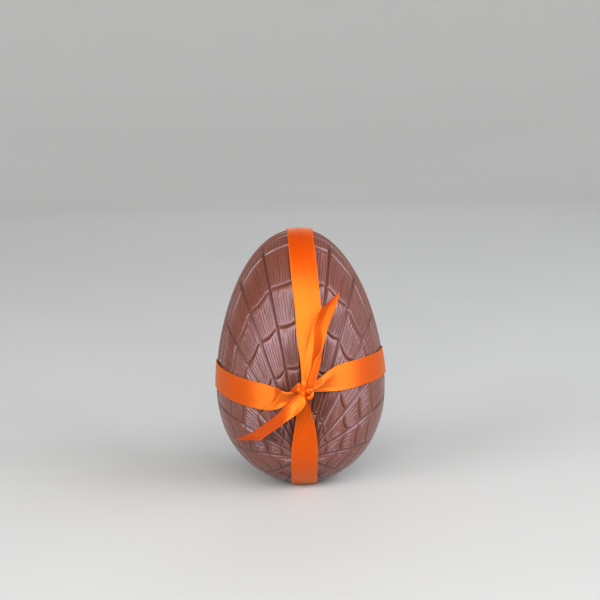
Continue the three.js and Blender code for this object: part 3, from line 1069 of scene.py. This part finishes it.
# %% [markdown]
# ## The waist band
#
# The waist band is nearly level behind and dips on the left of the knot. To its right the
# surplus width folds into pleats. To its left it rolls into one crest, which climbs from
# the lower edge to the upper edge and leaves a hollow below it. No zigzag gives that, so
# there the section is spanned by five lines that run along the band.

# %% Sections of the waist band
WAIST_STATIONS = 300
waist_height = curve_through(
    [(-180, 68.5), (-120, 67.5), (-70, 65), (-45, 62.2), (-21, 59.8), (-14, 60.2), (-8, 61.6)]
    + [(0, 64.2), (8, 66.2), (33, 70.2), (77, 71.9), (120, 71), (180, 68.5)]
)
waist_width = curve_through(
    [(-180, 15), (-26, 15), (-21, 14.3), (-17, 13), (-13.5, 11.4), (-10.5, 9), (-8, 7)]
    + [(-5, 5.4), (0, 5), (7, 5.4), (14, 9), (22, 13), (30, 15), (180, 15)]
)
degrees = -180 + 360 * np.arange(WAIST_STATIONS) / WAIST_STATIONS
fold = track([(0, 0.6), (13, 0.6), (26, 0)], degrees) * (degrees > 0)
right_of_knot = folded(
    pleats(degrees, 0.6, (-0.2, -0.9), (0.3, 0.9)), waist_width(degrees), fold
)
print("the waist band has", len(right_of_knot), "sections")

# %% Crest left of the knot
# Each row: degrees, then height above the floor and height off the egg of the upper edge,
# shoulder, crest, hollow and lower edge.
CREST = [
    (-26, (67.7, 0), (55.6, 0.0), (54.0, 0.0), (53.4, 0.0), (52.7, 0)),
    (-21, (66.7, 0), (57.4, 0.0), (54.8, 0.5), (53.6, 0.3), (52.5, 0.2)),
    (-18, (66.3, 0.1), (59.2, 0.1), (56.4, 1.0), (54.6, 0.5), (53.0, 0.5)),
    (-16, (66.1, 0.3), (61.0, 0.4), (58.4, 1.4), (56.2, 0.4), (53.5, 0.7)),
    (-14.5, (65.9, 0.7), (62.6, 0.9), (60.5, 1.9), (57.4, 0.2), (54.1, 0.8)),
    (-13, (65.6, 1.2), (63.9, 1.6), (62.4, 2.3), (57.6, 0.0), (54.8, 0.9)),
    (-11, (65.1, 2.1), (64.5, 2.4), (63.8, 2.9), (57.2, 0.0), (55.9, 1.0)),
    (-9, (64.6, 2.7), (64.2, 3.0), (63.7, 3.4), (58.2, 0.1), (57.2, 1.0)),
    (-6, (64.2, 3.1), (63.8, 3.3), (63.3, 3.6), (60.2, 0.5), (59.6, 1.0)),
    (0, (66.7, 1.5), (65.6, 2.0), (64.4, 2.2), (63.2, 1.5), (61.7, 1.0)),
]
CREST_SOFTNESS = 3


def softened(places, rounds):
    """Moves every inner place of each row halfway to the middle of its neighbours."""
    for _ in range(rounds):
        around = (places[:, :-2] + places[:, 2:]) / 2
        places[:, 1:-1] = (places[:, 1:-1] + around) / 2
    return places


crest_degrees = [row[0] for row in CREST]
crest_lines = np.array([row[1:] for row in CREST], float).transpose(1, 2, 0)
runs = np.array(
    [
        [curve_through(list(zip(crest_degrees, values)))(degrees) for values in line]
        for line in crest_lines
    ]
)
spans = np.hypot(*np.diff(runs, axis=0).transpose(1, 0, 2))
travel = np.concatenate([0 * spans[:1], np.cumsum(spans, axis=0)]) / spans.sum(axis=0)
even = np.linspace(0, 1, BAND_COLUMNS + 1)
crest = np.array(
    [
        [np.interp(even, travel[:, i], runs[:, k, i]) for k in range(2)]
        for i in range(WAIST_STATIONS)
    ]
)
crest[:, 0] = waist_height(degrees)[:, None] - crest[:, 0]
left_of_knot = softened(crest.transpose(0, 2, 1), CREST_SOFTNESS).transpose(0, 2, 1)
print("the crest stands", CREST[-2][3][1], "mm off the shell beside the knot")

# %% Waist band
CROSSING_LIFT = 0.7 * RIBBON_THICKNESS  # where it lies over the upright band behind
CROSSING_STARTS = (160, 172)  # degrees
CREST_STARTS = (-26, -23)

turn = np.radians(degrees)
left = smoothstep(degrees, *CREST_STARTS) * (1 - smoothstep(degrees, *OVER_KNOT))
left = left[:, None, None]
waist_band = band(
    "ribbon_waist_band",
    start=np.stack([0 * turn, 0 * turn, waist_height(degrees)], -1),
    direction=np.stack([np.sin(turn), -np.cos(turn), 0 * turn], -1),
    sections=right_of_knot * (1 - left) + left_of_knot * left,
    lift=CROSSING_LIFT * smoothstep(np.abs(degrees), *CROSSING_STARTS),
)

# %% [markdown]
# ## Loose ends
#
# A loose end stands free, so it is described by the lines that run along it: its two
# edges and the creases between them, at a few stations each. Simulated cloth would droop,
# while a real short end is held up by the tight knot. A smooth curve through the stations
# gives the run of each line, and the cloth spans the lines with softened creases.

# %% Lofted strips
LOFT_STEPS = 14
LOFT_FACET = [0.0, 0.12, 0.31, 0.5, 0.69, 0.88]  # of the way from one line to the next
HEM_BEHIND = np.array([0.0, 1.2, 0.0])  # from the edge towards the shell


def smooth_lines(stations):
    """Every line of the stations as a smooth curve."""
    stations = np.array(stations, float)
    padded = np.concatenate([2 * stations[:1] - stations[1:2], stations])
    padded = np.concatenate([padded, 2 * stations[-1:] - stations[-2:-1]])
    places = []
    for i in range(len(stations) - 1):
        p0, p1, p2, p3 = padded[i : i + 4]
        for t in np.arange(LOFT_STEPS) / LOFT_STEPS:
            places.append(
                p1
                + 0.5 * t * (p2 - p0)
                + t * t * (p0 - 2.5 * p1 + 2 * p2 - 0.5 * p3)
                + t**3 * (1.5 * (p1 - p2) + 0.5 * (p3 - p0))
            )
    return np.array([*places, stations[-1]])


def hemmed(stations, tucks, towards):
    """Adds the edge's hem, tucked in behind towards a crease by a share at each station."""
    stations = np.array(stations, float)
    edge, inner = stations[:, 0], stations[:, towards]
    share = np.array(tucks, float)[:, None]
    hem = edge + share * (inner - edge + HEM_BEHIND)
    return np.concatenate([hem[:, None], stations], axis=1)


def loft(name, lines, softness):
    """Ribbon that spans the lines, with its creases rounded a little."""
    columns = [
        lines[:, k] + share * (lines[:, k + 1] - lines[:, k])
        for k in range(lines.shape[1] - 1)
        for share in LOFT_FACET
    ]
    places = softened(np.stack([*columns, lines[:, -1]], 1), softness)
    run = np.linalg.norm(np.diff(places.mean(axis=1), axis=0), axis=1).sum()
    spans = np.linalg.norm(np.diff(places, axis=1), axis=2).sum(axis=1)
    length = float(run)
    piece = strip(name, places, length)
    print(f"{name}: {length:.1f} mm long, {spans.min():.1f} to {spans.max():.1f} mm wide")
    return piece


print("a lofted strip has", LOFT_STEPS, "steps from station to station")

# %% Upper tail
upper_tail = loft(
    "ribbon_upper_tail",
    smooth_lines(
        hemmed(
            [
                [(0.4, -54.6, 63), (1.8, -54.8, 63), (3.7, -55.2, 63), (5.4, -54.2, 63.9)],
                [(0.2, -58.4, 67.1), (2.8, -58.8, 67.2), (4.1, -60.6, 67.5), (6.8, -58.6, 67)],
                [(0.9, -58.2, 71.6), (3.4, -58.2, 71.5), (4.6, -61.2, 72.1), (8.4, -59, 71.5)],
                [(1.4, -57.6, 75.9), (5.4, -57.2, 75.8), (6, -60.8, 76.4), (9.8, -58.8, 75.9)],
                [(2.5, -55.8, 82.9), (6.6, -55.4, 82.7), (8.7, -59.8, 83.4), (11.5, -58.4, 83.1)],
                [(3.2, -54.4, 87.1), (7.1, -54, 86.9), (11.7, -59, 87.6), (12.2, -58.8, 87.6)],
                [(5.5, -52, 93.9), (7.5, -51.6, 93.8), (12.8, -56.2, 94.4), (14.3, -56.6, 94.4)],
                [(7.7, -49.6, 100.7), (8.3, -49.4, 100.7), (12.6, -52.8, 101.1), (16.3, -54.2, 101.2)],
                [(11.8, -47, 108), (12.8, -47.2, 108.9), (17, -49.6, 111.1), (20.2, -51.2, 110.1)],
                [(13, -46, 109.4), (16, -46.8, 112.2), (19.7, -47.6, 115.6), (22.9, -48, 118.6)],
            ],
            tucks=[1, 1, 1, 1, 1, 1, 0.8, 0.3, 0, 0],
            towards=1,
        )
    ),
    softness=2,
)

# %% Lower tail
lower_tail = loft(
    "ribbon_lower_tail",
    smooth_lines(
        hemmed(
            [
                [(0.4, -55.2, 64.8), (1.2, -56, 64.7), (2, -56, 63.2), (2.5, -55.4, 61.4)],
                [(-0.9, -58, 64.7), (0.4, -59.2, 64), (1.8, -59.8, 62.6), (2.6, -59.6, 60.7)],
                [(-3.8, -58.4, 62.4), (-2.1, -60.2, 61.2), (0, -61.4, 59.3), (1.6, -61.6, 57.5)],
                [(-8.3, -57.8, 58.4), (-6.2, -60.2, 56.7), (-4, -62, 54.7), (-2.3, -62.4, 53.6)],
                [(-14.3, -54, 51.5), (-12.1, -57.6, 50.4), (-9.9, -60.6, 49.4), (-8.3, -61.8, 49.4)],
                [(-20.5, -48.3, 45.8), (-18.3, -53, 45), (-16, -57.2, 44.3), (-14.4, -59.4, 44.5)],
                [(-30, -41.2, 37.9), (-26.4, -46.5, 38.2), (-22.7, -51.5, 38.7), (-19.9, -54.8, 39.9)],
                [(-37.7, -37.8, 34.2), (-32.8, -43.2, 35.2), (-28.1, -48.4, 36.2), (-23.3, -52.6, 37)],
            ],
            tucks=[1, 1, 1, 1, 0.9, 0.5, 0, 0],
            towards=2,
        )
    ),
    softness=2,
)

# %% [markdown]
# ## The knot
#
# A real knot is one run of ribbon that winds round itself, and most of it is hidden.
# Modelling the hidden turns would add nothing, so the knot is the three turns that show:
# a collar round the bands, a lobe and a curl. Each is a short loft along its two edges.
# The width that doesn't show is pleated in behind it, as in a tight turn of cloth.

# %% A turn of the knot
KNOT_CORE = np.array([1.5, -50.0, 64.5])
TUCK_LEGS = 3
TUCK_RETURN = 0.1  # of a leg, how far behind the even ones end
TUCK_INWARD = 0.35
TUCK_ROOM = 1 / 8  # of the seen width


def turn_of_knot(name, edges, creases):
    """A turn of ribbon; creases are (share of the seen width, height towards the front)."""
    edges = smooth_lines(edges)
    top, bottom = edges[:, 0], edges[:, 1]
    middle = (top + bottom) / 2
    tangent = unit(np.gradient(middle, axis=0))
    seen = np.linalg.norm(bottom - top, axis=1)[:, None]
    down = (bottom - top) / seen
    front = middle - KNOT_CORE
    front = unit(front - tangent * (front * tangent).sum(-1, keepdims=True))
    leg = np.maximum(RIBBON_WIDTH - seen, 0) / 2 / TUCK_LEGS
    inward = np.minimum(TUCK_INWARD, seen * TUCK_ROOM)
    behind = [leg * (1 if k % 2 else TUCK_RETURN) for k in range(1, TUCK_LEGS + 1)]
    before = [top - front * b + down * inward * k for k, b in enumerate(behind, 1)]
    after = [bottom - front * b - down * inward * k for k, b in enumerate(behind, 1)]
    shown = [top, *(top + down * seen * q + front * h for q, h in creases), bottom]
    return loft(name, np.stack([*before[::-1], *shown, *after], 1), 1)


print("a turn hides its surplus in", 2 * TUCK_LEGS, "pleats")

# %% Turns of the knot

knot_collar = turn_of_knot(
    "ribbon_knot_collar",
    [
        [(-5.7, -51.8, 64.9), (-5.4, -51.8, 63.2)],
        [(-3.7, -56.4, 67.7), (-3.5, -56.4, 64.6)],
        [(-1.5, -58.8, 70.1), (-1.6, -59.2, 64.9)],
        [(0.5, -57.8, 69.2), (0.4, -58.6, 63.2)],
        [(2.4, -58.2, 66.2), (1.9, -58.4, 60.8)],
        [(3.6, -54.4, 64.1), (3.3, -54.4, 60.4)],
    ],
    creases=[(0.25, 0.5), (0.5, 0.1), (0.75, 0.6)],
)
knot_lobe = turn_of_knot(
    "ribbon_knot_lobe",
    [
        [(5.9, -52.6, 70.2), (8.0, -52.6, 68.6)],
        [(4.9, -57.0, 69.6), (7.3, -57.2, 67.4)],
        [(3.9, -59.4, 67.7), (5.9, -59.6, 65.5)],
        [(2.4, -59.0, 65.6), (4.4, -59.0, 63.5)],
        [(1.5, -56.4, 64.6), (3.0, -56.4, 62.4)],
    ],
    creases=[(0.35, 0.45), (0.65, 0.1)],
)
knot_curl = turn_of_knot(
    "ribbon_knot_curl",
    [
        [(2.0, -56.4, 63.4), (1.6, -56.4, 61.6)],
        [(3.9, -58.6, 62.4), (3.7, -58.6, 60.4)],
        [(5.0, -59.2, 62.8), (6.3, -59.0, 61.3)],
        [(5.3, -58.8, 63.9), (7.1, -58.6, 63.9)],
        [(5.0, -57.4, 65.2), (6.6, -57.2, 66.4)],
        [(4.4, -54.6, 66.2), (5.8, -54.4, 68.0)],
    ],
    creases=[(0.5, 0.4)],
)

# %% [markdown]
# ## Satin
#
# Satin lets its warp threads float over the surface, so light runs off it in soft streaks
# along the ribbon. The finish reads the cloth's own UV map, in millimetres: fine threads
# give a slight bump, slower streaks change the tone, and the woven selvedge is paler. A
# dark red-orange under a yellow gloss gives the wide range from shade to shine.
#
# Threads also spread a highlight across themselves. Bumps fine enough for that would
# flicker, so the shader's anisotropy does it. Its direction goes round the vertical axis,
# as the level waist band's threads do, so that band has a finish of its own.

# %% Satin finish
THREADS = (7.0, 0.05, 1.0)  # noise cells a millimetre, across the ribbon and along it
STREAKS = (0.9, 0.02, 1.0)
SATIN_TONES = colour(186, 52, 0), colour(202, 67, 0)
SATIN_GLOSS = colour(232, 234, 96)
SATIN_SHEEN = colour(255, 170, 40)
SELVEDGE_START = RIBBON_WIDTH / 2 - 0.6
SELVEDGE_EASE = 0.2
SELVEDGE_TONE = colour(214, 100, 12)


def satin_finish(name, pieces, roughness, ior, across_threads):
    """Orange satin on pieces; across_threads spreads its gloss across level threads."""
    satin = Finish(name)
    weave = satin.node("UVMap")
    threads = satin.node("Mapping", None, {"Vector": weave, "Scale": THREADS})
    thread = satin.node("TexNoise", None, {"Vector": threads, "Scale": 1.0, "Detail": 1.0})
    streaks = satin.node("Mapping", None, {"Vector": weave, "Scale": STREAKS})
    streak = satin.node("TexNoise", None, {"Vector": streaks, "Scale": 1.0, "Detail": 2.0})
    sideways = satin.node("SeparateXYZ", None, {"Vector": weave}) - RIBBON_WIDTH / 2
    from_middle = satin.node("Math", {"operation": "ABSOLUTE"}, {0: sideways})
    selvedge = ((from_middle - SELVEDGE_START) * (1 / SELVEDGE_EASE)).clipped()
    body = satin.blend((thread * 0.4 + streak * 0.6).clipped(), *SATIN_TONES)
    satin.set(
        Base_Color=satin.blend(selvedge * 0.3, body, SELVEDGE_TONE),
        Roughness=roughness + thread * 0.08 + selvedge * 0.2,
        Normal=satin.bump(thread, strength=0.3, distance=0.0001),
        Metallic=0.3,
        IOR=ior,
        Specular_IOR_Level=1.0,
        Specular_Tint=SATIN_GLOSS,
        Sheen_Weight=0.06,
        Sheen_Roughness=0.4,
        Sheen_Tint=SATIN_SHEEN,
        Anisotropic=across_threads,
        Anisotropic_Rotation=0.25,
    )
    for piece in pieces:
        piece.data.materials.append(satin.material)
    print("satin finish:", satin.material.name, "on", len(pieces), "pieces")


satin_finish(
    "orange_satin",
    [upright_band, upper_tail, lower_tail, knot_collar, knot_lobe, knot_curl],
    roughness=0.34,
    ior=1.55,
    across_threads=0.0,
)
satin_finish("orange_satin_level", [waist_band], roughness=0.44, ior=1.72, across_threads=0.8)

# %% [markdown]
# ## The dressed model's box
#
# The dressed model must not outgrow the solids that it stands for, so its box is printed
# in millimetres.

# %% Finish the frame
low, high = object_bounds()
print("visual box in mm:", [round(1000 * side, 1) for side in high - low])
